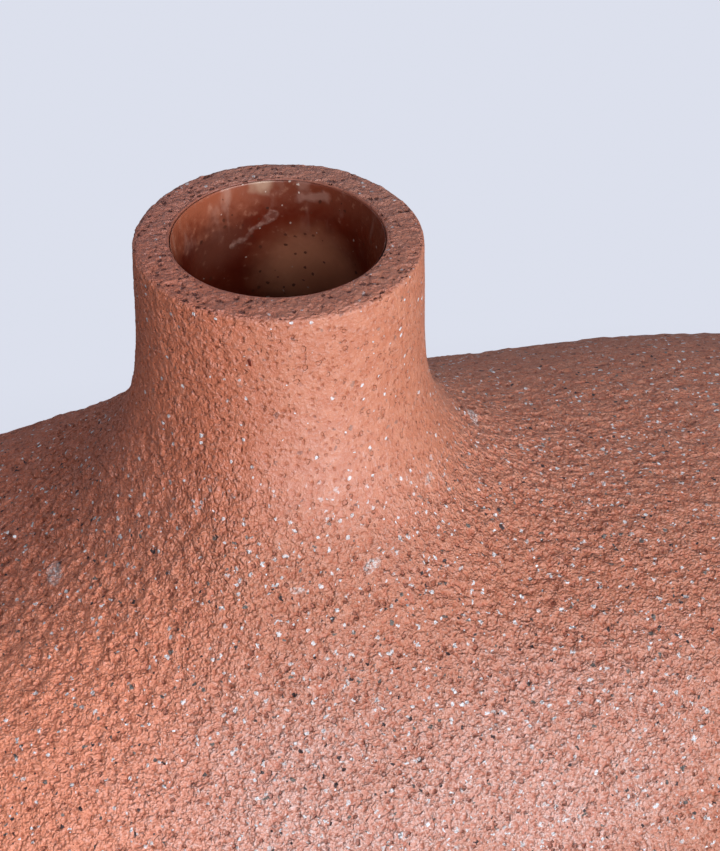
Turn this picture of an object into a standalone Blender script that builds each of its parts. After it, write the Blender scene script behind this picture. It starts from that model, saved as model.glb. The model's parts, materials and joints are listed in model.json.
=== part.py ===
"""Terracotta jug: a wide loaf-shaped body with a short round neck set off its middle, and no handle.

It is made as a potter makes it, in clay pieces luted edge to edge: a flat slab, a lower wall that
stands on it, an upper shell that closes the body, and a collar seated in the shell's bevelled hole.
A clear glaze lines the inside. Units are metres. +Z is up, +X runs along the body, and the origin
is the middle of the flat base.
"""

import bmesh
import bpy
import numpy as np

# Body
BODY_LENGTH = 0.244
BODY_DEPTH = 0.120
BELLY_HEIGHT = 0.050
SHOULDER_RISE = 0.052
PLAN_SQUARENESS = 3.3
PROFILE_SQUARENESS = 2.35
BODY_WALL = 0.0063

# Base
BASE_LENGTH = 0.184
BASE_DEPTH = 0.090
SLAB_THICKNESS = 0.007
BASE_EDGE_ROUND = 0.0012

# Neck
NECK_OFFSET = -0.0318
NECK_LENGTH = 0.043
NECK_DIAMETER = 0.040
NECK_TAPER = 0.0002
NECK_WALL = 0.00525
BORE_SHIFT = 0.0005
RIM_ROUND = 0.0008
BLEND_RISE = 0.027
BLEND_REACH = 0.026
BLEND_FULLNESS = 0.65
BLEND_LEFT_GROWTH = 0.16
SHORTEST_STRAIGHT = 0.004
WIDEST_BLEND_SHARE = 0.66

# The slow waver that shaping by hand leaves, which fades out at the belly and at the slab
WAVER_DEPTH = 0.0006
WAVER_SPACING = 0.042
NECK_WAVER_SHARE = 0.35
WAVER_FADE_LEVELS = 0.5
WAVE_DIRECTIONS = np.array([(0.9, 0.3, 0.3), (-0.4, 0.8, 0.5), (0.2, -0.6, 0.8), (0.6, 0.7, -0.5)])
WAVE_STARTS = np.array([0.4, 2.3, 4.1, 5.2])

# Joints and glaze
COLLAR_SEAT_SHARE = 0.60
JOINT_GAP = 0.0003
BELLY_JOINT_SLANT = 0.0015
LINING_GAP = 0.0003
LINING_THICKNESS = 0.0005
LINING_BELOW_RIM = 0.0015
LINING_CORNER = 0.005

# Rows and columns of faces
COLUMNS = 48
NECK_ROWS = 8
BORE_ROWS = 2
BLEND_ROWS_ON_COLLAR = 5
BLEND_ROWS_ON_SHELL = 3
DOME_ROWS = 8
WALL_ROWS = 6

# The outer surface is one skin, counted in levels from the rim down
ROOT_LEVEL = 1.0
DOME_LEVEL = 2.0
BELLY_LEVEL = 3.0
BASE_LEVEL = 4.0
SEAT_LEVEL = ROOT_LEVEL + (DOME_LEVEL - ROOT_LEVEL) * COLLAR_SEAT_SHARE

SLOPE_STEP = 1e-4
HALVINGS = 34
FINE_STEPS = 721
ROUND_SHARE = 0.293
SHARP_ANGLE = np.radians(35)

HALF_LENGTH = BODY_LENGTH / 2
HALF_DEPTH = BODY_DEPTH / 2
CROWN_HEIGHT = BELLY_HEIGHT + SHOULDER_RISE
RIM_HEIGHT = CROWN_HEIGHT + NECK_LENGTH
RIM_RADIUS = NECK_DIAMETER / 2
ROOT_RADIUS = RIM_RADIUS + NECK_TAPER


def clear_scene():
    for obj in list(bpy.data.objects):
        bpy.data.objects.remove(obj, do_unlink=True)


def plan_radius(x, y):
    """How far a plan point is from the middle, as a share of the body's rounded oblong outline."""
    shares = (np.abs(x) / HALF_LENGTH) ** PLAN_SQUARENESS + (np.abs(y) / HALF_DEPTH) ** PLAN_SQUARENESS
    return shares ** (1 / PLAN_SQUARENESS)


def outline_distance(angle):
    """Plan distance from the neck's axis to the body's outline, found by halving."""
    near = np.zeros_like(angle)
    far = np.full_like(angle, BODY_LENGTH)
    for _ in range(HALVINGS):
        middle = (near + far) / 2
        inside = plan_radius(NECK_OFFSET + middle * np.cos(angle), middle * np.sin(angle)) < 1
        near = np.where(inside, middle, near)
        far = np.where(inside, far, middle)
    return near


def dome_height(distance, angle):
    share = np.clip(plan_radius(NECK_OFFSET + distance * np.cos(angle), distance * np.sin(angle)), 0, 1)
    return BELLY_HEIGHT + SHOULDER_RISE * (1 - share**PROFILE_SQUARENESS) ** (1 / PROFILE_SQUARENESS)


def blend_frame(angle):
    """The outline's distance, and where the soft curve at the neck's root starts, turns and ends."""
    outline = outline_distance(angle)
    leftness = ((1 - np.cos(angle)) / 2) ** 2
    wide = BLEND_REACH * (1 + BLEND_LEFT_GROWTH * leftness)
    reach = np.minimum(wide, WIDEST_BLEND_SHARE * (outline - ROOT_RADIUS))
    end = ROOT_RADIUS + reach
    end_height = dome_height(end, angle)
    step = SLOPE_STEP * BODY_LENGTH
    slope = (dome_height(end + step, angle) - dome_height(end - step, angle)) / (2 * step)
    highest_start = RIM_HEIGHT - RIM_ROUND - SHORTEST_STRAIGHT
    corner_height = np.minimum(end_height - reach * slope, highest_start - SHORTEST_STRAIGHT)
    start_height = np.minimum(corner_height + BLEND_RISE, highest_start)
    return outline, reach, start_height, corner_height, end_height


def bezier(share, first, second, third, fourth):
    rest = 1 - share
    return rest**3 * first + 3 * rest**2 * share * second + 3 * rest * share**2 * third + share**3 * fourth


def smooth(share):
    share = np.clip(share, 0, 1)
    return share * share * (3 - 2 * share)


def plain_point(level, angle):
    """The outer surface before its waver: down the neck, round its root, over the dome, down the wall."""
    level, angle = np.broadcast_arrays(np.asarray(level, float), np.asarray(angle, float))
    outline, reach, start_height, corner_height, end_height = blend_frame(angle)

    neck_radius = RIM_RADIUS + NECK_TAPER * level
    neck_height = (RIM_HEIGHT - RIM_ROUND) * (1 - level) + start_height * level

    share = np.clip(level - ROOT_LEVEL, 0, 1)
    end = ROOT_RADIUS + reach
    second_height = start_height + (corner_height - start_height) * BLEND_FULLNESS
    third_radius = end - reach * BLEND_FULLNESS
    third_height = end_height + (corner_height - end_height) * BLEND_FULLNESS
    blend_radius = bezier(share, ROOT_RADIUS, ROOT_RADIUS, third_radius, end)
    blend_height = bezier(share, start_height, second_height, third_height, end_height)

    turn = np.clip(level - DOME_LEVEL, 0, 1) * np.pi / 2
    dome_radius = end + (outline - end) * np.sin(turn)

    stages = [level < ROOT_LEVEL, level < DOME_LEVEL, level < BELLY_LEVEL]
    radius = np.select(stages, [neck_radius, blend_radius, dome_radius], outline)
    x = NECK_OFFSET + radius * np.cos(angle)
    y = radius * np.sin(angle)
    drop = np.clip(level - BELLY_LEVEL, 0, None)
    inward = drop**PROFILE_SQUARENESS
    x = x * (1 - (1 - BASE_LENGTH / BODY_LENGTH) * inward)
    y = y * (1 - (1 - BASE_DEPTH / BODY_DEPTH) * inward)
    wall_height = BELLY_HEIGHT * (1 - drop)
    heights = [neck_height, blend_height, dome_height(dome_radius, angle)]
    z = np.select(stages, heights, wall_height)
    return np.stack([x, y, z], axis=-1)


def wall_level(height):
    """The level on the lower wall whose outer face is at a height."""
    return BASE_LEVEL - height / BELLY_HEIGHT


def surface_normal(surface, level, angle):
    down = surface(level + SLOPE_STEP, angle) - surface(level - SLOPE_STEP, angle)
    around = surface(level, angle + SLOPE_STEP) - surface(level, angle - SLOPE_STEP)
    normal = np.cross(down, around)
    return normal / np.linalg.norm(normal, axis=-1, keepdims=True)


def waver_depth(level, point):
    """How far the hand-shaped surface lies inside the plain one, or outside it where this is negative."""
    slow_waves = np.sin(point @ WAVE_DIRECTIONS.T * (2 * np.pi / WAVER_SPACING) + WAVE_STARTS).mean(axis=-1)
    on_neck = NECK_WAVER_SHARE + (1 - NECK_WAVER_SHARE) * smooth(level - ROOT_LEVEL)
    above_belly = smooth((BELLY_LEVEL - level) / WAVER_FADE_LEVELS)
    down_wall = np.clip((level - BELLY_LEVEL) / (wall_level(SLAB_THICKNESS) - BELLY_LEVEL), 0, 1)
    share = np.where(level < BELLY_LEVEL, on_neck * above_belly, np.sin(np.pi * down_wall) ** 2)
    return WAVER_DEPTH * share * slow_waves


def outer_point(level, angle):
    """The outer surface as a hand leaves it."""
    point = plain_point(level, angle)
    depth = waver_depth(np.asarray(level), point)
    return point - depth[..., None] * surface_normal(plain_point, level, angle)


def outward_normal(level, angle):
    return surface_normal(outer_point, level, angle)


def outward_in_plan(level):
    across = outward_normal(level, ANGLES)[:, :2]
    return across / np.linalg.norm(across, axis=1, keepdims=True)


def wall_thickness(level, angle):
    """The neck's wall, thinner at the back where the bore is shifted to, growing into the body's wall."""
    neck_wall = NECK_WALL - BORE_SHIFT * np.sin(angle)
    return neck_wall + (BODY_WALL - neck_wall) * smooth(level - ROOT_LEVEL)


def column_angles():
    """Directions from the neck's axis, closer where the outline is far, and the same each side of X."""
    fine = np.linspace(0, np.pi, FINE_STEPS)
    density = np.sqrt(outline_distance(fine))
    steps = (density[1:] + density[:-1]) / 2
    total = np.concatenate([[0], np.cumsum(steps)])
    half = np.interp(np.linspace(0, total[-1], COLUMNS // 2 + 1), total, fine)
    return np.concatenate([half, 2 * np.pi - half[-2:0:-1]])


ANGLES = column_angles()


def ring(level, depth=0.0):
    """One closed row of points, at a depth under the outer surface."""
    return outer_point(level, ANGLES) - depth * outward_normal(level, ANGLES)


def inner_ring(level, extra=0.0):
    """One row of points on the clay's inner face, or past it by extra."""
    depth = wall_thickness(level, ANGLES) + extra
    return outer_point(level, ANGLES) - depth[:, None] * outward_normal(level, ANGLES)


def flat_ring(points, height):
    return np.column_stack([points[:, 0], points[:, 1], np.full(len(points), height)])


def level_beside_joint(level, distance):
    """The level that lies a distance along the surface from another, column by column."""
    speed = outer_point(level + SLOPE_STEP, ANGLES) - outer_point(level - SLOPE_STEP, ANGLES)
    return level + distance * 2 * SLOPE_STEP / np.linalg.norm(speed, axis=-1)


def inner_level_at_height(height, extra=0.0):
    """The level on the lower wall whose inner face, or a face past it by extra, is at a height."""
    upper = np.full(len(ANGLES), BELLY_LEVEL)
    lower = np.full(len(ANGLES), BASE_LEVEL)
    for _ in range(HALVINGS):
        middle = (upper + lower) / 2
        above = inner_ring(middle, extra)[:, 2] > height
        upper = np.where(above, middle, upper)
        lower = np.where(above, lower, middle)
    return (upper + lower) / 2


def make_material(name, color, roughness):
    material = bpy.data.materials.new(name)
    material.use_nodes = True
    shader = material.node_tree.nodes["Principled BSDF"]
    shader.inputs["Base Color"].default_value = (*color, 1)
    shader.inputs["Roughness"].default_value = roughness
    shader.inputs["Metallic"].default_value = 0
    return material


def add_piece(name, rings, material, closed_loop):
    """Skins a stack of rings, which closes on itself like a tube or ends in a flat face at each end."""
    bm = bmesh.new()
    rows = [[bm.verts.new(point) for point in points] for points in rings]
    pairs = list(zip(rows, rows[1:] + rows[:1])) if closed_loop else list(zip(rows, rows[1:]))
    for upper, lower in pairs:
        for k in range(len(upper)):
            after = (k + 1) % len(upper)
            bm.faces.new((upper[k], lower[k], lower[after], upper[after]))
    if not closed_loop:
        bm.faces.new(rows[0])
        bm.faces.new(rows[-1])
    bmesh.ops.recalc_face_normals(bm, faces=bm.faces)
    mesh = bpy.data.meshes.new(name)
    bm.to_mesh(mesh)
    bm.free()
    mesh.shade_smooth()
    mesh.set_sharp_from_angle(angle=SHARP_ANGLE)
    mesh.materials.append(material)
    piece = bpy.data.objects.new(name, mesh)
    bpy.context.scene.collection.objects.link(piece)


def neck_levels(rows):
    return [k / rows for k in range(rows + 1)]


def blend_levels_to(last):
    """Levels round the neck's root, from just after its start to a last one."""
    step = (last - ROOT_LEVEL) / BLEND_ROWS_ON_COLLAR
    return [ROOT_LEVEL + step * k for k in range(1, BLEND_ROWS_ON_COLLAR + 1)]


def blend_levels_from(first):
    """Levels round the rest of the root, from a first one to just before the dome."""
    step = (DOME_LEVEL - first) / BLEND_ROWS_ON_SHELL
    return [first + step * k for k in range(BLEND_ROWS_ON_SHELL)]


def dome_levels():
    return list(np.linspace(DOME_LEVEL, BELLY_LEVEL, DOME_ROWS + 1))


def neck_collar(clay):
    """The collar: a tube with a flat rim, whose flared root is bevelled to sit in the shell's hole."""
    seat = level_beside_joint(SEAT_LEVEL, -JOINT_GAP / 2)
    blend = blend_levels_to(seat)
    outer = [ring(level) for level in neck_levels(NECK_ROWS) + blend]
    inner = [inner_ring(level) for level in reversed(neck_levels(BORE_ROWS) + blend)]
    outer_edge = ring(0.0, RIM_ROUND)
    outer_round = ring(0.0, RIM_ROUND * ROUND_SHARE)
    inner_edge = inner_ring(0.0, -RIM_ROUND)
    inner_round = inner_ring(0.0, -RIM_ROUND * ROUND_SHARE)
    round_height = RIM_HEIGHT - RIM_ROUND * ROUND_SHARE
    rim = [
        flat_ring(inner_round, round_height),
        flat_ring(inner_edge, RIM_HEIGHT),
        flat_ring(outer_edge, RIM_HEIGHT),
        flat_ring(outer_round, round_height),
    ]
    add_piece("neck_collar", outer + inner + rim, clay, closed_loop=True)


def upper_shell(clay):
    """The dome that closes the body, with the bevelled hole that carries the collar."""
    hole = level_beside_joint(SEAT_LEVEL, JOINT_GAP / 2)
    levels = blend_levels_from(hole) + dome_levels()
    outer = [ring(level) for level in levels]
    inner = [inner_ring(level) for level in reversed(levels[:-1])]
    lip = flat_ring(outer[-1], BELLY_HEIGHT - BELLY_JOINT_SLANT + JOINT_GAP / 2)
    lap = flat_ring(inner_ring(BELLY_LEVEL), BELLY_HEIGHT + BELLY_JOINT_SLANT + JOINT_GAP / 2)
    add_piece("upper_shell", outer + [lip, lap] + inner, clay, closed_loop=True)


def lower_wall(clay):
    """The wall from the slab up to the belly, where its edge slants to lap inside the shell's."""
    foot_height = SLAB_THICKNESS + JOINT_GAP
    first = wall_level(BELLY_HEIGHT - BELLY_JOINT_SLANT - JOINT_GAP / 2)
    last = wall_level(foot_height)
    outer = [ring(first + (last - first) * k / WALL_ROWS) for k in range(WALL_ROWS + 1)]
    inner_last = inner_level_at_height(foot_height)
    inner = [inner_ring(first + (inner_last - first) * k / WALL_ROWS) for k in range(WALL_ROWS, -1, -1)]
    lap = flat_ring(inner_ring(BELLY_LEVEL), BELLY_HEIGHT + BELLY_JOINT_SLANT - JOINT_GAP / 2)
    add_piece("lower_wall", outer + inner + [lap], clay, closed_loop=True)


def base_slab(clay):
    """The flat slab under the wall, with its lower edge taken off."""
    top = flat_ring(ring(wall_level(SLAB_THICKNESS)), SLAB_THICKNESS)
    side = ring(wall_level(BASE_EDGE_ROUND))
    bottom = flat_ring(ring(BASE_LEVEL)[:, :2] - BASE_EDGE_ROUND * outward_in_plan(BASE_LEVEL), 0)
    add_piece("base_slab", [top, side, bottom], clay, closed_loop=False)


def lining_rings(extra, floor_height):
    """One face of the lining, from its top edge under the rim down to the floor."""
    top = (LINING_BELOW_RIM - RIM_ROUND) / (RIM_HEIGHT - RIM_ROUND - blend_frame(ANGLES)[2])
    neck = [top + (ROOT_LEVEL - top) * k / BORE_ROWS for k in range(BORE_ROWS + 1)]
    blend = blend_levels_to(SEAT_LEVEL) + blend_levels_from(SEAT_LEVEL)[1:]
    last = inner_level_at_height(floor_height + LINING_CORNER, extra)
    wall = [BELLY_LEVEL + (last - BELLY_LEVEL) * k / WALL_ROWS for k in range(1, WALL_ROWS + 1)]
    rows = [inner_ring(level, extra) for level in neck + blend + dome_levels() + wall]
    corner_level = inner_level_at_height(floor_height, extra)
    corner = flat_ring(inner_ring(corner_level, extra), floor_height)
    floor = flat_ring(corner[:, :2] - LINING_CORNER * outward_in_plan(corner_level), floor_height)
    middle = (rows[-1] + floor) / 2
    pool = middle + (corner - middle) * ROUND_SHARE
    return rows + [pool, floor]


def glaze_lining(glaze):
    """The clear glaze inside: one thin open-topped coat from just under the rim, down over the slab."""
    clay_side = lining_rings(LINING_GAP, SLAB_THICKNESS + LINING_GAP)
    open_side = lining_rings(LINING_GAP + LINING_THICKNESS, SLAB_THICKNESS + LINING_GAP + LINING_THICKNESS)
    add_piece("glaze_lining", clay_side[::-1] + open_side, glaze, closed_loop=False)


def main():
    clear_scene()
    base_slab(make_material("slab_clay", (0.40, 0.19, 0.13), 0.92))
    lower_wall(make_material("wall_clay", (0.47, 0.22, 0.15), 0.90))
    upper_shell(make_material("shell_clay", (0.50, 0.24, 0.165), 0.88))
    neck_collar(make_material("collar_clay", (0.52, 0.25, 0.17), 0.86))
    glaze_lining(make_material("clear_glaze", (0.36, 0.16, 0.075), 0.12))


main()
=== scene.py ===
"""The look of a handleless terracotta jug: coarse fired clay outside, clear glaze inside.

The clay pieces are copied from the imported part, welded into one skin so that no joint shows, given
their grain, and parted again at the joints. Units are metres, in the part's own frame.
"""

import json
import math

import bpy
import numpy as np
from mathutils import Matrix, Vector
from mathutils.kdtree import KDTree

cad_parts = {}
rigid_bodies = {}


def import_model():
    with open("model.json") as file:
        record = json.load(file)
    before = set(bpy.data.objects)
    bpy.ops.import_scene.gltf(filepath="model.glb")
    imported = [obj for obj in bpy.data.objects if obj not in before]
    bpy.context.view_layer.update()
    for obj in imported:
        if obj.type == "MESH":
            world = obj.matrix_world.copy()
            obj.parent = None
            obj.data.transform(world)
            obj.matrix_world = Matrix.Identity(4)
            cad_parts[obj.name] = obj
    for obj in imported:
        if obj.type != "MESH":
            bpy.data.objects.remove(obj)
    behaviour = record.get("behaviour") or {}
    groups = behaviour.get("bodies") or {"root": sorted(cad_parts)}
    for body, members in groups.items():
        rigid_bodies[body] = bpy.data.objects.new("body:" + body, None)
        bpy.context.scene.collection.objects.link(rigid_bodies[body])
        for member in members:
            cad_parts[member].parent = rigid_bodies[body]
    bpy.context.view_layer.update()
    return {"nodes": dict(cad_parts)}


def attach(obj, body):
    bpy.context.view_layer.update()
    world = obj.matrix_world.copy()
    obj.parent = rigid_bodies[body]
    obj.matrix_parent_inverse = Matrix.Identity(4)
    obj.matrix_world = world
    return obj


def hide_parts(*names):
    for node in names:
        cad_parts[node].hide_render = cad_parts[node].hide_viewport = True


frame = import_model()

# The clay pieces, in the order of their material numbers
SLAB, WALL, SHELL, COLLAR = range(4)
CLAY_NODES = ["base_slab", "lower_wall", "upper_shell", "neck_collar"]
CLAY_SLOTS = ["slab_clay", "wall_clay", "shell_clay", "collar_clay"]
PIECE_NAMES = ["slab", "wall", "shell", "collar"]
# The heights between which each piece has a pair of open edges to join
JOINT_HEIGHTS = [[(0, 1)], [(0, 0.03), (0.03, 1)], [(0, 0.06), (0.06, 1)], [(0, 1)]]

# The jug's own sizes
NECK_AXIS = Vector((-0.0318, 0.0, 0.0))
BODY_MIDDLE = Vector((0.0, 0.0, 0.045))
RIM_HEIGHT, RIM_ROUND = 0.145, 0.0008
BORE_RADIUS, BORE_SHIFT = 0.01475, 0.0005
SLAB_TOP = (0.0069, 0.0074)

# Merging and parting
SAME_PLACE = 1e-6
JOINT_REACH = 0.0006
SQUARE_BEND, SQUARE_SKEW = math.radians(40), math.radians(180)

# Where the skin gets more faces: the shoulder round the neck, and the front of the neck
SEEN_SHOULDER_LEFT, SEEN_SHOULDER_RIGHT, SEEN_SHOULDER_BACK = -0.080, 0.050, 0.026
UPRIGHT_SHARE, LONG_EDGE = 0.6, 0.0005
NECK_SKIN_REACH, NECK_SKIN_FOOT, NECK_SKIN_BACK = 0.0175, 0.1085, 0.006

# Where the grain is held back: inside the bore, and on the underside
BORE_MOUTH_REACH, BORE_FADE = 0.031, (-0.98, -0.5)
UNDERSIDE_FADE, UNDERSIDE_LOSS = (0.0012, 0.0003), 0.8

# The glaze's top edge: where it rises, how far, and how thin it ends
LINING_RISE_HEIGHTS, LINING_RISE = (0.1385, 0.1434), 0.0013
LINING_DEPTH, LINING_OPEN_THIN, LINING_CLAY_THIN = 0.00055, 0.00010, 0.00002


def only(piece):
    bpy.ops.object.select_all(action="DESELECT")
    piece.select_set(True)
    bpy.context.view_layer.objects.active = piece


def edit(piece, mode="VERT"):
    only(piece)
    bpy.ops.object.mode_set(mode="EDIT")
    bpy.ops.mesh.select_mode(type=mode)
    bpy.ops.mesh.select_all(action="DESELECT")


def done():
    bpy.ops.object.mode_set(mode="OBJECT")


def select_open_edges():
    bpy.ops.mesh.select_non_manifold(
        extend=False, use_wire=True, use_boundary=True, use_multi_face=False,
        use_non_contiguous=False, use_verts=True,
    )


def select_faces(piece, mask):
    """Selects exactly the masked faces, with the piece in object mode."""
    mesh = piece.data
    edit(piece, "FACE")
    done()
    mesh.polygons.foreach_set("select", np.asarray(mask, bool))
    bpy.ops.object.mode_set(mode="EDIT")


def vertex_places(mesh):
    flat = np.empty(len(mesh.vertices) * 3, np.float32)
    mesh.vertices.foreach_get("co", flat)
    return flat.reshape(-1, 3)


def face_values(mesh):
    """Each face's centre, normal and material number."""
    count = len(mesh.polygons)
    centres, normals = np.empty(count * 3, np.float32), np.empty(count * 3, np.float32)
    numbers = np.empty(count, np.int32)
    mesh.polygons.foreach_get("center", centres)
    mesh.polygons.foreach_get("normal", normals)
    mesh.polygons.foreach_get("material_index", numbers)
    return centres.reshape(-1, 3), normals.reshape(-1, 3), numbers


def join(pieces):
    only(pieces[0])
    for piece in pieces:
        piece.select_set(True)
    bpy.ops.object.join()
    return pieces[0]


def copy_of_node(node, name):
    """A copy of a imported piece, merged and turned back into the squares that it was made of."""
    piece = bpy.data.objects.new(name, frame["nodes"][node].data.copy())
    bpy.context.scene.collection.objects.link(piece)
    edit(piece)
    bpy.ops.mesh.select_all(action="SELECT")
    bpy.ops.mesh.remove_doubles(threshold=SAME_PLACE)
    bpy.ops.mesh.tris_convert_to_quads(
        face_threshold=SQUARE_BEND, shape_threshold=SQUARE_SKEW, topology_influence=2.0
    )
    done()
    return piece


def welded_clay():
    """The four clay pieces as one closed body, its joint faces taken out and its joint edges merged."""
    body = join([copy_of_node(node, node + "_clay") for node in CLAY_NODES])
    mesh = body.data
    owner = {v: face.material_index for face in mesh.polygons for v in face.vertices}
    tree = KDTree(len(mesh.vertices))
    for vertex in mesh.vertices:
        tree.insert(vertex.co, vertex.index)
    tree.balance()
    at_joint = {
        v.index
        for v in mesh.vertices
        if any(owner[other] != owner[v.index] for _, other, _ in tree.find_range(v.co, JOINT_REACH))
    }
    low, high = SLAB_TOP
    joint_faces = [
        all(v in at_joint for v in face.vertices)
        or all(low < mesh.vertices[v].co.z < high for v in face.vertices)
        for face in mesh.polygons
    ]
    select_faces(body, joint_faces)
    bpy.ops.mesh.delete(type="FACE")
    bpy.ops.mesh.select_mode(type="VERT")
    select_open_edges()
    bpy.ops.mesh.remove_doubles(threshold=JOINT_REACH)
    select_open_edges()
    bpy.ops.mesh.edge_face_add()
    body.active_material_index = SLAB
    bpy.ops.object.material_slot_assign()
    done()
    return body


def inner_faces(mesh):
    """Which faces of the shell, the wall and the slab look into the cavity."""
    centres, normals, numbers = face_values(mesh)
    facing_in = ((centres - np.array(BODY_MIDDLE)) * normals).sum(1) < 0
    return facing_in & (numbers != COLLAR)


def subdivide_smooth(piece, levels):
    only(piece)
    modifier = piece.modifiers.new("rounded", "SUBSURF")
    modifier.levels = levels
    modifier.render_levels = levels
    bpy.ops.object.modifier_apply(modifier=modifier.name)


def vertex_normals(mesh):
    flat = np.empty(len(mesh.vertices) * 3, np.float32)
    mesh.vertex_normals.foreach_get("vector", flat)
    return flat.reshape(-1, 3)


def ease(low, high, values):
    share = np.clip((values - low) / (high - low), 0, 1)
    return share * share * (3 - 2 * share)


def keep_places(mesh):
    """Keeps where each point was before the grain moved it, which is where its colour is read."""
    attribute = mesh.attributes.new("rest", "FLOAT_VECTOR", "POINT")
    attribute.data.foreach_set("vector", vertex_places(mesh).ravel())


def grained(skin, grain_tree):
    """Gives the outer skin its lumps, crumbs and pits. The bore, the rim and the underside get less."""
    mesh = skin.data
    places, out = vertex_places(mesh), vertex_normals(mesh)
    from_neck = places[:, :2] - np.array(NECK_AXIS[:2])
    reach = np.linalg.norm(from_neck, axis=1)
    outward = (from_neck * out[:, :2]).sum(1) / np.maximum(reach, 1e-6)
    in_bore = (reach < BORE_MOUTH_REACH) & (outward < 0)
    outside_share = 1 - UNDERSIDE_LOSS * ease(*UNDERSIDE_FADE, places[:, 2])
    share = np.where(in_bore, ease(*BORE_FADE, outward), outside_share)
    attribute = mesh.attributes.new("grain_share", "FLOAT", "POINT")
    attribute.data.foreach_set("value", share.astype(np.float32))
    only(skin)
    modifier = skin.modifiers.new("grain", "NODES")
    modifier.node_group = grain_tree
    bpy.ops.object.modifier_apply(modifier=modifier.name)
    skin.data.attributes.remove(skin.data.attributes["grain_share"])


def dense_where_seen(skin):
    """More faces on the shoulder round the neck and on the lower wall, so that the grain has shape."""
    centres, _, numbers = face_values(skin.data)
    x, y, _ = centres.T
    front = (numbers == SHELL) & (x > SEEN_SHOULDER_LEFT) & (x < SEEN_SHOULDER_RIGHT)
    front &= y < SEEN_SHOULDER_BACK
    select_faces(skin, front | (numbers == WALL))
    bpy.ops.mesh.subdivide(number_cuts=1, smoothness=0.0)
    done()


def dense_up_the_neck(skin):
    """Shorter faces up the front of the neck, where the part's own rows lie far apart."""
    mesh = skin.data
    ends = np.empty(len(mesh.edges) * 2, np.int32)
    mesh.edges.foreach_get("vertices", ends)
    places = vertex_places(mesh)[ends].reshape(-1, 2, 3)
    step, middle = places[:, 1] - places[:, 0], places.mean(1)
    length = np.linalg.norm(step, axis=1)
    reach = np.hypot(middle[:, 0] - NECK_AXIS.x, middle[:, 1])
    chosen = (np.abs(step[:, 2]) > UPRIGHT_SHARE * length) & (length > LONG_EDGE)
    chosen &= (reach > NECK_SKIN_REACH) & (middle[:, 2] > NECK_SKIN_FOOT)
    chosen &= middle[:, 1] < NECK_SKIN_BACK
    edit(skin, "EDGE")
    done()
    mesh.edges.foreach_set("select", chosen)
    bpy.ops.object.mode_set(mode="EDIT")
    bpy.ops.mesh.subdivide(number_cuts=2, smoothness=0.0)
    done()


def new_objects_after(step):
    before = set(bpy.data.objects)
    step()
    return [piece for piece in bpy.data.objects if piece not in before]


def inner_wall_of(body):
    """Takes the faces that look into the cavity off the body, which need no grain."""
    select_faces(body, inner_faces(body.data))
    inner = new_objects_after(lambda: bpy.ops.mesh.separate(type="SELECTED"))[0]
    done()
    return inner


def split_by_material(piece):
    """Parts a piece by its materials, and returns the parts by material number."""
    only(piece)
    bpy.ops.object.mode_set(mode="EDIT")
    bpy.ops.mesh.select_all(action="SELECT")
    parts = [piece] + new_objects_after(lambda: bpy.ops.mesh.separate(type="MATERIAL"))
    done()
    return {CLAY_SLOTS.index(part.data.materials[0].name.split(".")[0]): part for part in parts}


def bridge_open_loops(piece, low, high):
    """Joins the two open edge loops that lie between two heights."""
    edit(piece)
    select_open_edges()
    done()
    mesh = piece.data
    chosen = np.empty(len(mesh.edges), bool)
    mesh.edges.foreach_get("select", chosen)
    ends = np.empty(len(mesh.edges) * 2, np.int32)
    mesh.edges.foreach_get("vertices", ends)
    heights = vertex_places(mesh)[:, 2][ends].reshape(-1, 2).mean(1)
    edit(piece, "EDGE")
    done()
    mesh.edges.foreach_set("select", chosen & (heights > low) & (heights < high))
    bpy.ops.object.mode_set(mode="EDIT")
    bpy.ops.mesh.bridge_edge_loops()
    done()


def keep_normals(mesh):
    attribute = mesh.attributes.new("skin_normal", "FLOAT_VECTOR", "POINT")
    attribute.data.foreach_set("vector", vertex_normals(mesh).ravel())


def use_kept_normals(mesh):
    """Shades a part with the normals that the whole skin had, so that no joint shows as a line."""
    flat = np.empty(len(mesh.vertices) * 3, np.float32)
    mesh.attributes["skin_normal"].data.foreach_get("vector", flat)
    kept = flat.reshape(-1, 3)
    own = vertex_normals(mesh)
    missing = np.linalg.norm(kept, axis=1) < 0.5
    kept[missing] = own[missing]
    mesh.normals_split_custom_set_from_vertices(kept.tolist())
    mesh.attributes.remove(mesh.attributes["skin_normal"])


def volume(mesh):
    """The space that a closed mesh holds, below nought where its faces look inward."""
    mesh.calc_loop_triangles()
    corners = np.empty(len(mesh.loop_triangles) * 3, np.int32)
    mesh.loop_triangles.foreach_get("vertices", corners)
    first, second, third = vertex_places(mesh).astype(float)[corners.reshape(-1, 3)].transpose(1, 0, 2)
    return (first * np.cross(second, third)).sum() / 6


def face_outward(piece):
    edit(piece)
    bpy.ops.mesh.select_all(action="SELECT")
    bpy.ops.mesh.normals_make_consistent(inside=False)
    done()
    if volume(piece.data) < 0:
        edit(piece)
        bpy.ops.mesh.select_all(action="SELECT")
        bpy.ops.mesh.flip_normals()
        done()


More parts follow.
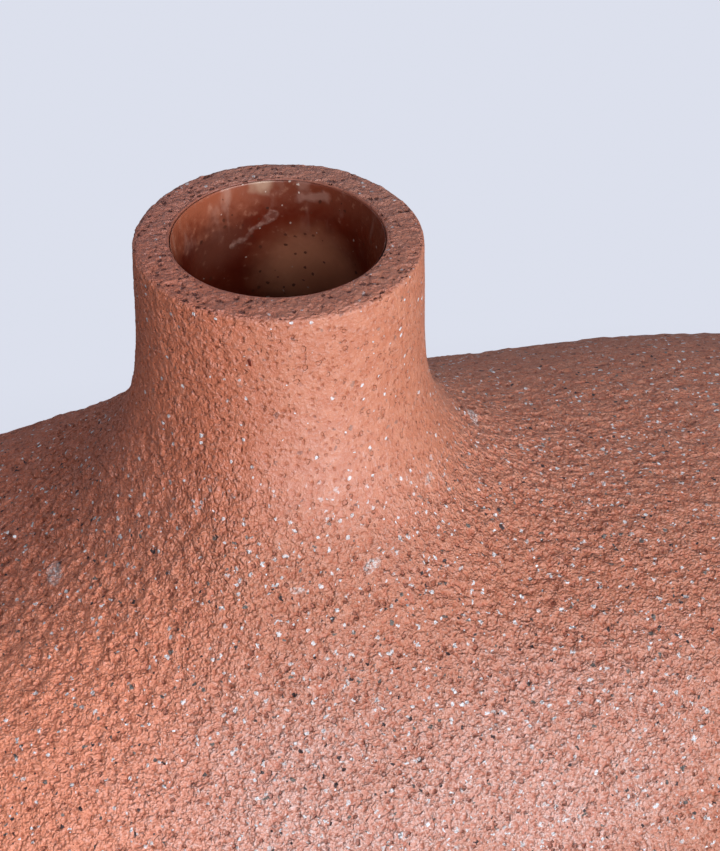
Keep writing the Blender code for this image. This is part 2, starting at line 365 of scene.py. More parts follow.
def clay_pieces(grain_tree):
    """The slab, wall, shell and collar, each closed, with one unbroken grain across their joints."""
    body = welded_clay()
    inner = inner_wall_of(body)
    subdivide_smooth(body, 3)
    dense_where_seen(body)
    dense_up_the_neck(body)
    keep_places(body.data)
    keep_places(inner.data)
    grained(body, grain_tree)
    keep_normals(body.data)
    outer_parts, inner_parts = split_by_material(body), split_by_material(inner)
    pieces = {}
    for number, name in enumerate(PIECE_NAMES):
        piece = join([parts[number] for parts in (outer_parts, inner_parts) if number in parts])
        piece.name = piece.data.name = name
        for low, high in JOINT_HEIGHTS[number]:
            bridge_open_loops(piece, low, high)
        face_outward(piece)
        only(piece)
        bpy.ops.object.shade_smooth()
        use_kept_normals(piece.data)
        pieces[name] = piece
    return pieces


def lining_piece():
    """The glaze inside, rounded, its top edge thinned out against the bore as glaze runs out."""
    piece = copy_of_node("glaze_lining", "lining")
    subdivide_smooth(piece, 2)
    mesh = piece.data
    places = vertex_places(mesh).copy()
    away = places[:, :2] - np.array(NECK_AXIS[:2])
    reach = np.linalg.norm(away, axis=1)
    bore = BORE_RADIUS + BORE_SHIFT * away[:, 1] / reach
    open_side = reach < bore - LINING_DEPTH
    rise = ease(*LINING_RISE_HEIGHTS, places[:, 2])
    places[:, 2] += rise * LINING_RISE
    up_the_round = np.clip((places[:, 2] - (RIM_HEIGHT - RIM_ROUND)) / RIM_ROUND, 0, 1)
    wall = bore + RIM_ROUND * (1 - np.sqrt(1 - up_the_round**2))
    feathered = wall - np.where(open_side, LINING_OPEN_THIN, LINING_CLAY_THIN)
    places[:, :2] += away / reach[:, None] * (rise * (feathered - reach))[:, None]
    mesh.vertices.foreach_set("co", places.ravel())
    mesh.update()
    only(piece)
    bpy.ops.object.shade_smooth()
    return piece


class Nodes:
    """Adds nodes to a tree: inputs are values or the sockets that feed them."""

    def __init__(self, tree):
        self.tree = tree

    def add(self, kind, inputs=None, **settings):
        node = self.tree.nodes.new(kind)
        for key, value in settings.items():
            setattr(node, key, value)
        for key, value in (inputs or {}).items():
            if isinstance(value, bpy.types.NodeSocket):
                self.tree.links.new(value, node.inputs[key])
            else:
                node.inputs[key].default_value = value
        return node

    def math(self, operation, first, second=0.0):
        return self.add("ShaderNodeMath", {0: first, 1: second}, operation=operation).outputs[0]

    def total(self, first, *others):
        for other in others:
            first = self.math("ADD", first, other)
        return first

    def product(self, first, *others):
        for other in others:
            first = self.math("MULTIPLY", first, other)
        return first

    def minus(self, first, second):
        return self.math("SUBTRACT", first, second)

    def larger(self, first, second):
        return self.math("MAXIMUM", first, second)

    def swing(self, value, amount):
        """A value from nought to one as a rise and fall about nought."""
        return self.product(self.minus(value, 0.5), amount)

    def vector(self, operation, first, second=(0, 0, 0)):
        return self.add("ShaderNodeVectorMath", {0: first, 1: second}, operation=operation).outputs[0]

    def measure(self, operation, first, second=(0, 0, 0)):
        node = self.add("ShaderNodeVectorMath", {0: first, 1: second}, operation=operation)
        return node.outputs["Value"]

    def split(self, vector):
        return self.add("ShaderNodeSeparateXYZ", {0: vector}).outputs

    def scaled(self, vector, factor):
        node = self.add("ShaderNodeVectorMath", {0: vector, "Scale": factor}, operation="SCALE")
        return node.outputs[0]

    def mix(self, share, first, second):
        inputs = {0: share, 6: first, 7: second}
        return self.add("ShaderNodeMix", inputs, data_type="RGBA", clamp_factor=True).outputs[2]

    def coats(self, colour, *layers):
        """Lays colours over one another, each by its own share."""
        for share, tone in layers:
            colour = self.mix(share, colour, tone)
        return colour

    def span(self, value, low, high, to_low=0.0, to_high=1.0, smooth=True):
        """Maps a value from one span to another, held at its ends."""
        kind = "SMOOTHSTEP" if smooth else "LINEAR"
        inputs = {"Value": value, "From Min": low, "From Max": high, "To Min": to_low, "To Max": to_high}
        return self.add("ShaderNodeMapRange", inputs, interpolation_type=kind, clamp=True).outputs[0]

    def noise(self, vector, scale, detail=2.0, roughness=0.5, distortion=0.0):
        inputs = {
            "Vector": vector, "Scale": scale, "Detail": detail,
            "Roughness": roughness, "Distortion": distortion,
        }
        return self.add("ShaderNodeTexNoise", inputs).outputs[0]

    def cells(self, vector, scale):
        return self.add("ShaderNodeTexVoronoi", {"Vector": vector, "Scale": scale}, feature="F1").outputs

    def wandering(self, place, scale, detail, amount):
        """A place moved a little to and fro, so that what is drawn there has ragged edges."""
        drift = self.add("ShaderNodeTexNoise", {"Vector": place, "Scale": scale, "Detail": detail})
        drift = self.vector("SUBTRACT", drift.outputs["Color"], (0.5, 0.5, 0.5))
        return self.vector("ADD", place, self.scaled(drift, amount))


def new_group(name, inputs, outputs):
    """A shader node group with named sockets: its tree, its builder, and its input sockets."""
    tree = bpy.data.node_groups.new(name, "ShaderNodeTree")
    for socket, (kind, value) in inputs.items():
        item = tree.interface.new_socket(socket, in_out="INPUT", socket_type="NodeSocket" + kind)
        if value is not None:
            item.default_value = value
    for socket, kind in outputs.items():
        tree.interface.new_socket(socket, in_out="OUTPUT", socket_type="NodeSocket" + kind)
    nodes = Nodes(tree)
    entry = nodes.add("NodeGroupInput")
    leave = nodes.add("NodeGroupOutput")

    def give(**values):
        for socket, value in values.items():
            tree.links.new(value, leave.inputs[socket])

    return tree, nodes, entry.outputs, give


# The clay's tones, and the colours that paint light and shade onto it: painted shade for pits, crevices,
# dimples, the fine bumps' hollows, the neck's left, the left back and the rim; painted light for the left
# front; painted highlights for the bloom, in part, and the tops of crumbs and fine bumps
CLAY, PIT_PAINTED_SHADE = (0.61, 0.222, 0.126, 1), (0.22, 0.042, 0.016, 1)
NECK_LEFT_PAINTED_SHADE, LEFT_BACK_PAINTED_SHADE, LEFT_FRONT_PAINTED_LIGHT = (0.53, 0.142, 0.066, 1), (0.62, 0.155, 0.070, 1), (0.95, 0.32, 0.175, 1)
MOTTLED_PALE, MOTTLED_DARK = (0.72, 0.34, 0.22, 1), (0.46, 0.135, 0.062, 1)
BLOOM_AND_HIGHLIGHT, CRUMB_TOP_HIGHLIGHT, CREVICE_PAINTED_SHADE = (0.88, 0.51, 0.45, 1), (0.90, 0.62, 0.59, 1), (0.50, 0.120, 0.054, 1)
DIMPLE_PAINTED_SHADE, FINE_BUMP_PAINTED_SHADE, FINE_BUMP_PAINTED_GLINT = (0.41, 0.095, 0.034, 1), (0.58, 0.160, 0.078, 1), (0.92, 0.74, 0.71, 1)
PIT_PAINTED_SHADE_PALE, NECK_PIT_PAINTED_SHADE = (0.36, 0.085, 0.035, 1), (0.50, 0.135, 0.055, 1)
DARK_GRAIN, GREY_GRAIN = (0.055, 0.020, 0.014, 1), (0.20, 0.165, 0.145, 1)
DULL_WHITE, BRIGHT_WHITE = (0.74, 0.62, 0.62, 1), (0.90, 0.90, 0.96, 1)
DULL_SMEAR, BRIGHT_SMEAR = (0.70, 0.52, 0.48, 1), (0.80, 0.78, 0.80, 1)
RIM_FRONT_PAINTED_SHADE, RIM_BACK_PAINTED_SHADE, RIM_PIT_PAINTED_SHADE = (0.37, 0.120, 0.080, 1), (0.25, 0.125, 0.110, 1), (0.11, 0.030, 0.022, 1)
WET_EDGE = (0.30, 0.085, 0.045, 1)
# What each clay material gives to the shared skin
CLAY_LOOK = {"Clay": CLAY, "Pit Painted Shade": PIT_PAINTED_SHADE, "White": 1.0, "Dark": 1.0}

# Where the clay is neck, rim or the wet edge of the bore
NECK_REACH, NECK_RISE = (0.0290, 0.0220), (0.085, 0.098)
RIM_EDGE = (0.1441, 0.1447)
WET_REACH, WET_HEIGHTS = (BORE_RADIUS + 0.0005, BORE_RADIUS + 0.0001), (0.140, 0.142)
# On the neck the grain is drawn out upwards, from the height of the neck's root
NECK_ROOT_HEIGHT, NECK_LEAN = 0.112, -0.12
# The scale of each texture, roughly how many to a metre
LUMP_SCALE, CLUMP_SCALE, CRUMB_SCALE, SMALL_CRUMB_SCALE, FINE_SCALE = 300.0, 620.0, 980.0, 2200.0, 1900.0
PIT_SCALE, DIMPLE_SCALE, WAVER_SCALE, FINE_BUMP_SCALE = 900.0, 1250.0, 70.0, 2600.0
MILLIMETRE = 0.001
# Each kind of grain: its scale, the share of cells that hold one, size, raggedness and shift
DARK_GRAINS = (760.0, 0.55, 0.29, 0.9, 0.71)
WHITE_SPECKS = (1150.0, 0.10, 0.42, 0.5, 0.53)
SMEARS = (95.0, 0.40, 0.16, 0.5, 0.29)
SMEAR_STRETCH = (1.0, 0.6, 1.3)
# Where the patches lie, of bloom and painted highlight, painted light and painted shade: an axis, and from
# where to where on it the patch comes in
BLOOM_AND_HIGHLIGHT_PLACE = [(1, -0.026, -0.050), (0, 0.040, -0.005), (0, -0.085, -0.020), (2, 0.052, 0.084)]
LEFT_FRONT_PAINTED_LIGHT_PLACE = [(0, -0.034, -0.066), (1, 0.006, -0.026), (2, 0.055, 0.084)]
LEFT_BACK_PAINTED_SHADE_PLACE = [(0, -0.034, -0.060), (1, -0.036, -0.008)]
ROOT_BLOOM_AND_HIGHLIGHT_PLACE, ROOT_BLOOM_AND_HIGHLIGHT_REACH = (-0.024, -0.027, 0.112), (0.024, 0.004)
# How much each lifts the clay, in mm
CRUMB_LIFT, LUMP_LIFT, CLUMP_LIFT, RIM_ROUGHNESS = 0.76, 0.6, 0.5, 0.55


def scattered(n, place, scale, share, size, ragged, shift=0.0):
    """Ragged grains of mixed sizes, one to a cell in some of the cells: a mask, and a shade for each."""
    moved = n.vector("ADD", n.wandering(place, scale * 1.7, 2.0, ragged / scale), (shift, shift, shift))
    cells = n.cells(moved, scale)
    chance = n.split(cells["Color"])
    radius = n.span(chance[1], 0, 1, size * 0.35, size, smooth=False)
    inside = n.span(cells["Distance"], radius, n.product(radius, 0.72))
    return n.product(inside, n.math("LESS_THAN", chance[0], share)), chance[2]


def clay_field(n, place):
    """Where the clay is neck, rim, crumb, dimple or pit, and its height in mm, from a place on it."""
    height_up = n.split(place)[2]
    flat = n.vector("MULTIPLY", n.vector("SUBTRACT", place, tuple(NECK_AXIS)), (1, 1, 0))
    side, back, _ = n.split(flat)
    reach = n.measure("LENGTH", flat)
    neck = n.product(n.span(reach, *NECK_REACH), n.span(height_up, *NECK_RISE))
    rim = n.span(height_up, *RIM_EDGE)
    lean = n.span(neck, 0, 1, 0.0, NECK_LEAN, smooth=False)
    drawn_up = n.product(n.minus(height_up, NECK_ROOT_HEIGHT), lean)
    upwards = n.add("ShaderNodeCombineXYZ", {0: 0.0, 1: 0.0, 2: drawn_up}).outputs[0]
    drawn = n.vector("ADD", place, upwards)
    ragged = n.wandering(drawn, 1200.0, 1.0, 0.0008)

    crumbs = n.total(
        n.product(n.cells(ragged, CRUMB_SCALE)["Distance"], -0.44),
        n.product(n.cells(ragged, SMALL_CRUMB_SCALE)["Distance"], -0.50),
        0.68,
        n.product(n.noise(drawn, FINE_SCALE, roughness=0.6), 0.50),
    )
    pit, pit_shade = scattered(n, drawn, PIT_SCALE, n.total(0.45, n.product(rim, 0.35)), 0.42, 0.6)
    hollows = n.cells(ragged, DIMPLE_SCALE)
    held = n.math("LESS_THAN", n.split(hollows["Color"])[0], 0.6)
    dimple = n.product(n.span(hollows["Distance"], 0.46, 0.08), held, n.span(neck, 0, 1, 0.15, 1.0))

    # The relief is strongest on the left behind the front, and fades up the neck and to its right
    neck_rough = n.span(side, -0.018, 0.000, n.span(height_up, 0.130, 0.112, 0.42, 0.95), 0.10)
    left_rough = n.span(back, -0.034, -0.016, 0.95, 1.5)
    body_rough = n.product(n.minus(1.0, neck), n.span(side, 0.002, -0.026, 1.0, left_rough))
    rough = n.larger(n.total(body_rough, n.product(neck, neck_rough)), n.product(rim, RIM_ROUGHNESS))

    lumps = n.noise(place, LUMP_SCALE, detail=1.0)
    clumps = n.noise(ragged, CLUMP_SCALE, detail=0.0)
    relief = n.total(n.swing(crumbs, CRUMB_LIFT), n.swing(lumps, LUMP_LIFT), n.swing(clumps, CLUMP_LIFT))
    dimple_depth = n.span(side, -0.018, 0.004, 0.22, 0.12)
    pit_depth = n.total(n.span(neck, 0, 1, 0.40, 0.21), n.product(rim, 0.28))
    height = n.minus(n.product(relief, rough), n.product(dimple, dimple_depth))
    height = n.minus(height, n.product(pit, pit_depth))

    # The bore is set off its axis, so its edge is a little further out at the back
    off_axis = n.product(n.split(n.vector("NORMALIZE", flat))[1], BORE_SHIFT)
    wet = n.product(n.span(n.minus(reach, off_axis), *WET_REACH), n.span(height_up, *WET_HEIGHTS))
    return {
        "height": height, "height_up": height_up, "reach": reach, "side": side, "drawn": drawn,
        "neck": neck, "rim": rim, "wet": wet, "crumbs": crumbs, "dimple": dimple,
        "pit": pit, "pit_shade": pit_shade, "waver": n.noise(place, WAVER_SCALE, detail=1.0),
    }


def clay_grain_tree():
    """Moves each point of the skin by the clay's own height, so that its colour and shape agree."""
    tree = bpy.data.node_groups.new("clay_grain", "GeometryNodeTree")
    tree.interface.new_socket("Geometry", in_out="INPUT", socket_type="NodeSocketGeometry")
    tree.interface.new_socket("Geometry", in_out="OUTPUT", socket_type="NodeSocketGeometry")
    n = Nodes(tree)
    entry, leave = n.add("NodeGroupInput"), n.add("NodeGroupOutput")
    field = clay_field(n, n.add("GeometryNodeInputPosition").outputs[0])
    share = n.add("GeometryNodeInputNamedAttribute", {"Name": "grain_share"}, data_type="FLOAT").outputs[0]
    lift = n.total(n.product(field["height"], 0.7), n.swing(field["waver"], 0.4))
    settle = n.span(field["height_up"], 0.080, 0.060, 0.0, 0.42)
    lift = n.minus(lift, n.larger(settle, n.product(field["rim"], 0.18)))
    lift = n.product(lift, MILLIMETRE, share)
    offset = n.scaled(n.add("GeometryNodeInputNormal").outputs[0], lift)
    moved = n.add("GeometryNodeSetPosition", {"Geometry": entry.outputs[0], "Offset": offset})
    tree.links.new(moved.outputs[0], leave.inputs[0])
    return tree


def patch(n, place, edges):
    """A soft patch, bounded on the axes that its edges name."""
    axes = n.split(place)
    return n.product(*[n.span(axes[axis], low, high) for axis, low, high in edges])


def bloom_and_highlight_mask(n, place):
    """The whitish bloom on the front of the shoulder, partly a painted highlight where it faces the key,
    and a trace of it at the neck's root.
    """
    uneven = n.span(n.noise(place, 30.0, detail=3.0), 0.30, 0.62, 0.45, 1.0)
    bloom_and_highlight = n.product(patch(n, place, BLOOM_AND_HIGHLIGHT_PLACE), uneven)
    at_root = n.span(n.measure("DISTANCE", place, ROOT_BLOOM_AND_HIGHLIGHT_PLACE), *ROOT_BLOOM_AND_HIGHLIGHT_REACH)
    return n.larger(bloom_and_highlight, n.product(at_root, 0.13))


def clay_skin_group():
    """Coarse fired clay: its tones, pits, white and dark grains, and the fine height of them, with painted
    shade in its hollows and on its shaded left, painted light on the left front, and painted highlights on
    the front and on the tops of its bumps.
    """
    inputs = {"Place": ("Vector", None)}
    for socket, value in CLAY_LOOK.items():
        inputs[socket] = ("Color" if isinstance(value, tuple) else "Float", value)
    outputs = {"Color": "Color", "Roughness": "Float", "Height": "Float"}
    tree, n, given, give = new_group("clay_skin", inputs, outputs)
    place = given["Place"]
    along, across, _ = n.split(place)
    field = clay_field(n, place)
    crumbs, rim, neck, pit = field["crumbs"], field["rim"], field["neck"], field["pit"]
    mottled = n.noise(place, 520.0, roughness=0.6)
    fine_bumps = n.noise(field["drawn"], FINE_BUMP_SCALE, roughness=0.6)
    off_neck = n.minus(1.0, n.product(neck, 0.75))
    bloom_and_highlight = bloom_and_highlight_mask(n, place)

    # Painted light: the lower front left of the shoulder is made brighter, standing in for fill light
    left_front_painted_light = patch(n, place, LEFT_FRONT_PAINTED_LIGHT_PLACE)
    # Painted shade: the shoulder left of the neck and behind it, in the neck's shadow, is made redder
    left_back_painted_shade = n.product(patch(n, place, LEFT_BACK_PAINTED_SHADE_PLACE), 0.85)
    # Painted shade: the neck's left side, turned away from the key, is made darker and redder
    neck_left_painted_shade = n.product(neck, n.span(field["side"], 0.004, -0.016))
    bare_and_painted_shade = n.coats(given["Clay"], (neck_left_painted_shade, NECK_LEFT_PAINTED_SHADE), (left_back_painted_shade, LEFT_BACK_PAINTED_SHADE))
    # Painted shade in the pits, each pit given a darker or a paler tone of it
    pit_painted_shade = n.mix(field["pit_shade"], given["Pit Painted Shade"], PIT_PAINTED_SHADE_PALE)
    clay = n.coats(
        bare_and_painted_shade,
        (n.span(mottled, 0.35, 0.7, 0.0, 0.35), n.mix(0.5, bare_and_painted_shade, MOTTLED_PALE)),
        (n.product(n.span(mottled, 0.62, 0.40), 0.30), MOTTLED_DARK),
        # Painted light on the left front
        (n.product(left_front_painted_light, 0.80), LEFT_FRONT_PAINTED_LIGHT),
        # A real whitish bloom, partly a painted highlight where the front faces the key
        (n.product(bloom_and_highlight, 0.70), BLOOM_AND_HIGHLIGHT),
        # Painted highlights on the crumbs' tops, strongest in the bloom
        (n.product(n.span(crumbs, 0.50, 0.66), n.span(bloom_and_highlight, 0, 1, 0.10, 0.80)), CRUMB_TOP_HIGHLIGHT),
        # Painted shade in the crevices between the crumbs, off the neck
        (n.product(n.span(crumbs, 0.44, 0.22), n.product(off_neck, 0.60)), CREVICE_PAINTED_SHADE),
        # Painted shade in the dimples
        (n.product(field["dimple"], 0.7), DIMPLE_PAINTED_SHADE),
        # Painted shade in the hollows of the fine bumps, off the neck
        (n.product(n.span(fine_bumps, 0.46, 0.33), n.product(off_neck, 0.5)), FINE_BUMP_PAINTED_SHADE),
        # Painted glints on the tops of the fine bumps, strongest in the bloom
        (n.product(n.span(fine_bumps, 0.55, 0.70), n.span(bloom_and_highlight, 0, 1, 0.15, 0.85)), FINE_BUMP_PAINTED_GLINT),
        # Painted shade in the pits, less dark and more orange on the neck
        (n.product(pit, n.span(neck, 0, 1, 0.62, 0.30)), n.mix(n.product(neck, 0.8), pit_painted_shade, NECK_PIT_PAINTED_SHADE)),
    )

    dark, dark_shade = scattered(n, place, *DARK_GRAINS)
    dark = n.product(dark, given["Dark"], n.span(neck, 0, 1, 1.0, 0.45))
    more_whites_right = n.span(along, -0.070, -0.030, 0.40, 0.95)
    white, white_shade = scattered(n, place, 760.0, more_whites_right, 0.29, 1.0, 0.13)
    speck, _ = scattered(n, place, *WHITE_SPECKS)
    off_bore = n.span(field["reach"], 0.0215, 0.0270)
    whites = n.product(n.larger(white, speck), given["White"], off_bore)
    whites = n.larger(whites, n.product(n.product(speck, neck), given["White"]))
    smear, smear_shade = scattered(n, n.vector("MULTIPLY", place, SMEAR_STRETCH), *SMEARS)
    smear = n.product(smear, n.span(fine_bumps, 0.42, 0.62, 0.15, 0.75))
    clay = n.coats(
        clay,
        (dark, n.mix(n.span(dark_shade, 0.35, 0.75), DARK_GRAIN, GREY_GRAIN)),
        (whites, n.mix(white_shade, DULL_WHITE, BRIGHT_WHITE)),
        (smear, n.mix(smear_shade, DULL_SMEAR, BRIGHT_SMEAR)),
        # Painted shade on the rim's top, darker and greyer towards the back
        (n.product(rim, 0.45), n.mix(n.span(across, -0.012, 0.012), RIM_FRONT_PAINTED_SHADE, RIM_BACK_PAINTED_SHADE)),
        # Painted shade in the rim's pits, darker than elsewhere
        (n.product(n.product(pit, rim), 0.75), RIM_PIT_PAINTED_SHADE),
        (n.product(field["wet"], 0.8), WET_EDGE),
    )

    height = n.total(field["height"], n.swing(fine_bumps, 0.20), n.product(whites, 0.05))
    height = n.product(height, n.span(field["wet"], 0, 1, 1.0, 0.2))
    give(Color=clay, Roughness=n.span(whites, 0, 1, 0.56, 0.38, smooth=False), Height=height)
    return tree


def clay_material(name, skin):
    material = bpy.data.materials.new(name)
    material.use_nodes = True
    n = Nodes(material.node_tree)
    shader = material.node_tree.nodes["Principled BSDF"]
    rest = n.add("ShaderNodeAttribute", attribute_name="rest").outputs["Vector"]
    look = n.add("ShaderNodeGroup", node_tree=skin)
    link = material.node_tree.links.new
    link(rest, look.inputs["Place"])
    for socket, value in CLAY_LOOK.items():
        look.inputs[socket].default_value = value
    relief = {"Strength": 1.0, "Distance": MILLIMETRE, "Height": look.outputs["Height"]}
    bump = n.add("ShaderNodeBump", relief)
    link(look.outputs["Color"], shader.inputs["Base Color"])
    link(look.outputs["Roughness"], shader.inputs["Roughness"])
    link(bump.outputs[0], shader.inputs["Normal"])
    shader.inputs["Specular IOR Level"].default_value = 0.9
    shader.inputs["Specular Tint"].default_value = (0.50, 0.80, 1.0, 1)
    return material


def near_point(n, place, middle, reach):
    """A soft round patch about a point."""
    return n.span(n.measure("DISTANCE", place, middle), reach, reach * 0.3)


def near_line(n, place, first, second, reach):
    """A soft streak from one point to another."""
    first, second = Vector(first), Vector(second)
    length = (second - first).length
    along = (second - first) / length
    off = n.vector("SUBTRACT", place, tuple(first))
    share = n.measure("DOT_PRODUCT", off, tuple(along))
    share = n.span(share, 0.0, length, 0.0, length, smooth=False)
    direction = n.add("ShaderNodeCombineXYZ", {0: along.x, 1: along.y, 2: along.z}).outputs[0]
    return n.span(n.measure("DISTANCE", off, n.scaled(direction, share)), reach, reach * 0.35)


# The tones of the clay as the glaze shows it, with painted shade for the depths and for the band's duller
# side, painted light for the band under the rim and a patch further in, and a milky tone that also paints
# two glints
DEEP_PAINTED_SHADE, DEEPER_PAINTED_SHADE, MAUVE, INNER_PAINTED_LIGHT = (
    (0.155, 0.020, 0.008, 1), (0.115, 0.013, 0.006, 1), (0.19, 0.062, 0.040, 1), (0.68, 0.27, 0.155, 1)
)
LIT, LIT_RUNS, DULL_SIDE_PAINTED_SHADE = (0.36, 0.098, 0.050, 1), (0.58, 0.29, 0.21, 1), (0.13, 0.024, 0.012, 1)
MILKY_AND_GLINT, CREAM, FLECK = (0.50, 0.28, 0.23, 1), (0.62, 0.42, 0.30, 1), (0.60, 0.29, 0.19, 1)
BLACK_SPECK, BROWN_SPECK, PALE_SPECK = (
    (0.05, 0.014, 0.010, 1), (0.12, 0.035, 0.02, 1), (0.80, 0.68, 0.62, 1)
)
GLAZE_SPECKS, PALE_GLAZE_SPECKS = (800.0, 0.42, 0.30, 0.5, 0.17), (900.0, 0.14, 0.26, 0.5, 0.83)
# Where the patches and streaks lie that the photo shows inside the neck
MAUVE_PLACE, MAUVE_REACH = (-0.0388, 0.0129, 0.1365), 0.0070
# Painted light: the inner body lit through the mouth
INNER_PAINTED_LIGHT_PLACE, INNER_PAINTED_LIGHT_REACH = (-0.0245, 0.0125, 0.1285), 0.0115
CREAM_PLACE, CREAM_REACH = (-0.0316, 0.0148, 0.1443), 0.0024
# The arc and the streak are painted glints of the glaze, laid in as milky colour
ARC_GLINT_ENDS, ARC_GLINT_REACH = ((-0.0262, 0.0136, 0.1421), (-0.0232, 0.0122, 0.1428)), 0.0013
STREAK_GLINT_ENDS, STREAK_GLINT_REACH = ((-0.0362, 0.0142, 0.1346), (-0.0296, 0.0147, 0.1393)), 0.00075


def glaze_colour(n, place):
    """The clay seen through the glaze, with painted shade deep down, a painted lit band under the rim, a
    patch of painted light further in, its milky runs with two painted glints, its specks, and the glaze's
    own height.
    """
    height_up = n.split(place)[2]
    runs = n.noise(n.vector("MULTIPLY", place, (1.0, 1.0, 0.30)), 330.0, detail=3.0, distortion=0.4)
    broad = n.noise(place, 150.0, detail=3.0)
    fine = n.noise(place, 1000.0, detail=3.0)
    ragged = n.wandering(place, 500.0, 2.0, 0.0022)

    # Painted shade for the depths, with a patch of painted light further in
    deep_shade_and_inner_light = n.coats(
        n.mix(n.span(broad, 0.4, 0.62), DEEP_PAINTED_SHADE, DEEPER_PAINTED_SHADE),
        (n.product(near_point(n, ragged, MAUVE_PLACE, MAUVE_REACH), 0.6), MAUVE),
        # Painted light on the inner body, lit through the mouth
        (n.product(near_point(n, ragged, INNER_PAINTED_LIGHT_PLACE, INNER_PAINTED_LIGHT_REACH), 0.9), INNER_PAINTED_LIGHT),
    )
    lit_edge = n.total(height_up, n.swing(broad, 0.009), n.swing(fine, 0.004))
    lit = n.mix(n.span(runs, 0.48, 0.70, 0.0, 0.5), LIT, LIT_RUNS)
    # Painted shade: the lit band is made duller on its right, where less light reaches
    lit = n.mix(n.span(n.split(ragged)[0], -0.0400, -0.0260, 0.0, 0.85), lit, DULL_SIDE_PAINTED_SHADE)

    milky_and_glints = n.product(n.span(runs, 0.56, 0.70), n.span(height_up, 0.134, 0.141), 0.25)
    # Painted glints of the glaze: the arc here and the streak below, drawn with the milky colour
    milky_and_glints = n.larger(milky_and_glints, n.product(near_line(n, ragged, *ARC_GLINT_ENDS, ARC_GLINT_REACH), 0.34))
    streak = near_line(n, ragged, *STREAK_GLINT_ENDS, STREAK_GLINT_REACH)
    milky_and_glints = n.larger(milky_and_glints, n.product(streak, n.span(fine, 0.35, 0.65, 0.15, 0.6)))
    speck, speck_shade = scattered(n, place, *GLAZE_SPECKS)
    pale_speck, _ = scattered(n, place, *PALE_GLAZE_SPECKS)
    colour = n.coats(
        # Painted light and shade: the band under the rim is painted lit, the depths below painted in shade
        n.mix(n.span(lit_edge, 0.1382, 0.1434), deep_shade_and_inner_light, lit),
        (milky_and_glints, MILKY_AND_GLINT),
        (n.product(near_point(n, ragged, CREAM_PLACE, CREAM_REACH), 0.55), CREAM),
        (n.span(fine, 0.60, 0.74, 0, 0.18), FLECK),
        (n.product(speck, 0.85), n.mix(speck_shade, BLACK_SPECK, BROWN_SPECK)),
        (n.product(pale_speck, 0.6), PALE_SPECK),
    )
    height = n.total(n.product(fine, 0.07), n.product(milky_and_glints, 0.25), n.product(broad, 0.5))
    return colour, n.span(fine, 0.3, 0.7, 0.30, 0.50), height


def glaze_material():
    """Clear glaze over the clay inside: wet, darker than the outside, milky where it lies thick; its colour
    paints shade in the depths, a lit band under the rim and two glints.
    """
    material = bpy.data.materials.new("glaze")
    material.use_nodes = True
    n = Nodes(material.node_tree)
    link = material.node_tree.links.new
    shader = material.node_tree.nodes["Principled BSDF"]
    colour, roughness, height = glaze_colour(n, n.add("ShaderNodeTexCoord").outputs["Object"])
    bump = n.add("ShaderNodeBump", {"Strength": 0.7, "Distance": MILLIMETRE, "Height": height})
    link(colour, shader.inputs["Base Color"])
    link(roughness, shader.inputs["Roughness"])
    link(bump.outputs[0], shader.inputs["Normal"])
    shader.inputs["Specular IOR Level"].default_value = 0.35
    shader.inputs["Coat Weight"].default_value = 0.35
    shader.inputs["Coat Roughness"].default_value = 0.12
    return material


def dress(piece, material):
    piece.data.materials.clear()
    piece.data.materials.append(material)


def add_object(name, data):
    piece = bpy.data.objects.new(name, data)
    bpy.context.scene.collection.objects.link(piece)
    return piece


BACKDROP, SKY = (0.715, 0.745, 0.845, 1), (0.60, 0.78, 1.0, 1)
FLOOR_SIZE, FLOOR_SHADE_REACH = 8.0, 0.12
LAMP_SIZE, LAMP_DISTANCE = 1.3, 1.1
LAMPS_AIM = Vector((-0.02, -0.02, 0.11))
# The photo's size and the rim's middle in it, in pixels
PICTURE_WIDTH, PICTURE_HEIGHT = 720, 851
RIM_IN_PICTURE = (278.2, 235.6)
LENS, SENSOR, CAMERA_DISTANCE = 100, 36, 0.322
CAMERA_TURN, CAMERA_TILT = math.radians(-11.2), math.radians(37.3)
LIGHTS = {
    # name: turn and lift in degrees, power, colour
    "key": (20, 15, 22.4, (1.0, 1.0, 1.0)),
    "back_fill": (-140, 50, 3.7, (1.0, 1.0, 1.06)),
    "side_fill": (-55, 28, 1.1, (1.0, 0.95, 0.92)),
    "rear_fill": (150, 8, 3.2, (1.0, 1.0, 1.0)),
}


def stage_floor():
    """A pale floor that no lamp reaches, so that it stays even, with a soft shade where the jug stands."""
    bpy.ops.mesh.primitive_plane_add(size=FLOOR_SIZE)
    floor = bpy.context.object
    floor.name = "floor"
    material = bpy.data.materials.new("pale_floor")
    material.use_nodes = True
    n = Nodes(material.node_tree)
    tree = material.node_tree
    tree.nodes.remove(tree.nodes["Principled BSDF"])
    open_share = n.add("ShaderNodeAmbientOcclusion", {"Distance": FLOOR_SHADE_REACH}).outputs["AO"]
    strength = n.span(open_share, 0, 1, 0.35, 1.0, smooth=False)
    plain = n.add("ShaderNodeEmission", {"Color": BACKDROP, "Strength": strength})
    dim = n.add("ShaderNodeEmission", {"Color": BACKDROP, "Strength": 0.12})
    seen = n.add("ShaderNodeLightPath").outputs["Is Camera Ray"]
    both = n.add("ShaderNodeMixShader", {0: seen, 1: dim.outputs[0], 2: plain.outputs[0]})
    # From below the floor is clear, so that the underside can be looked at
    from_below = n.add("ShaderNodeNewGeometry").outputs["Backfacing"]
    clear = n.add("ShaderNodeBsdfTransparent")
    both = n.add("ShaderNodeMixShader", {0: from_below, 1: both.outputs[0], 2: clear.outputs[0]})
    tree.links.new(both.outputs[0], tree.nodes["Material Output"].inputs["Surface"])
    floor.data.materials.append(material)


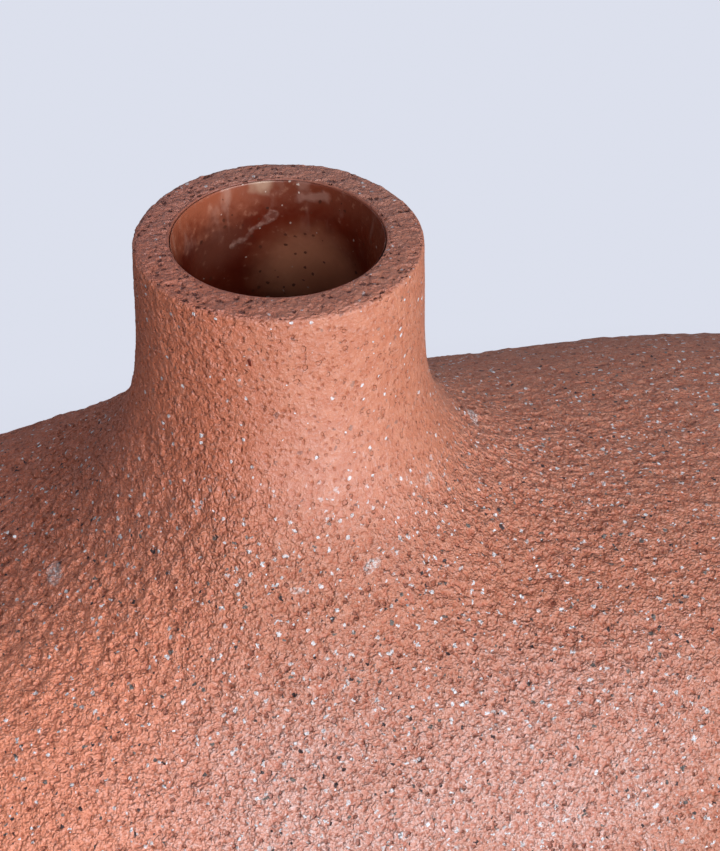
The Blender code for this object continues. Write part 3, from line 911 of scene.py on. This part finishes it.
def sky():
    world = bpy.data.worlds.new("studio")
    bpy.context.scene.world = world
    world.use_nodes = True
    n = Nodes(world.node_tree)
    ray = n.add("ShaderNodeLightPath").outputs
    strength = n.span(ray["Is Glossy Ray"], 0, 1, 0.05, 0.30, smooth=False)
    soft = n.add("ShaderNodeBackground", {"Color": SKY, "Strength": strength})
    plain = n.add("ShaderNodeBackground", {"Color": BACKDROP, "Strength": 1.0})
    both = n.add("ShaderNodeMixShader", {0: ray["Is Camera Ray"], 1: soft.outputs[0], 2: plain.outputs[0]})
    leave = world.node_tree.nodes["World Output"].inputs["Surface"]
    world.node_tree.links.new(both.outputs[0], leave)


def direction(turn, lift):
    """From the middle of the jug outwards: turned from the front, and lifted from the floor."""
    return Vector((math.sin(turn) * math.cos(lift), -math.cos(turn) * math.cos(lift), math.sin(lift)))


def lamps():
    """Large soft lamps, all aimed at the neck."""
    for name, (turn, lift, power, colour) in LIGHTS.items():
        data = bpy.data.lights.new(name, "AREA")
        data.shape = "DISK"
        data.size = LAMP_SIZE
        data.energy = power
        data.color = colour
        toward = direction(math.radians(turn), math.radians(lift))
        lamp = add_object(name, data)
        lamp.visible_glossy = name == "key"
        lamp.location = LAMPS_AIM + toward * LAMP_DISTANCE
        lamp.rotation_euler = toward.to_track_quat("Z", "Y").to_euler()


def camera():
    """Looks down on the rim's middle, and is moved aside until that lies where the photo has it."""
    back = direction(CAMERA_TURN, CAMERA_TILT)
    right = Vector((math.cos(CAMERA_TURN), math.sin(CAMERA_TURN), 0))
    up = back.cross(right)
    pixel = CAMERA_DISTANCE / (LENS / SENSOR * PICTURE_HEIGHT)
    place = NECK_AXIS + Vector((0, 0, RIM_HEIGHT)) + back * CAMERA_DISTANCE
    place -= right * ((RIM_IN_PICTURE[0] - PICTURE_WIDTH / 2) * pixel)
    place += up * ((RIM_IN_PICTURE[1] - PICTURE_HEIGHT / 2) * pixel)
    data = bpy.data.cameras.new("camera")
    data.lens = LENS
    data.sensor_width = SENSOR
    data.sensor_fit = "AUTO"
    view = add_object("camera", data)
    matrix = Matrix((right, up, back)).transposed().to_4x4()
    matrix.translation = place
    view.matrix_world = matrix
    bpy.context.scene.camera = view


def main():
    pieces = clay_pieces(clay_grain_tree())
    lining = lining_piece()
    skin = clay_skin_group()
    dress(lining, glaze_material())
    for number, name in enumerate(PIECE_NAMES):
        dress(pieces[name], clay_material(name + "_look", skin))
        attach(pieces[name], "root")
        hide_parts(CLAY_NODES[number])
    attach(lining, "root")
    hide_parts("glaze_lining")
    stage_floor()
    sky()
    lamps()
    camera()
    bpy.context.scene.view_settings.view_transform = "Standard"


main()
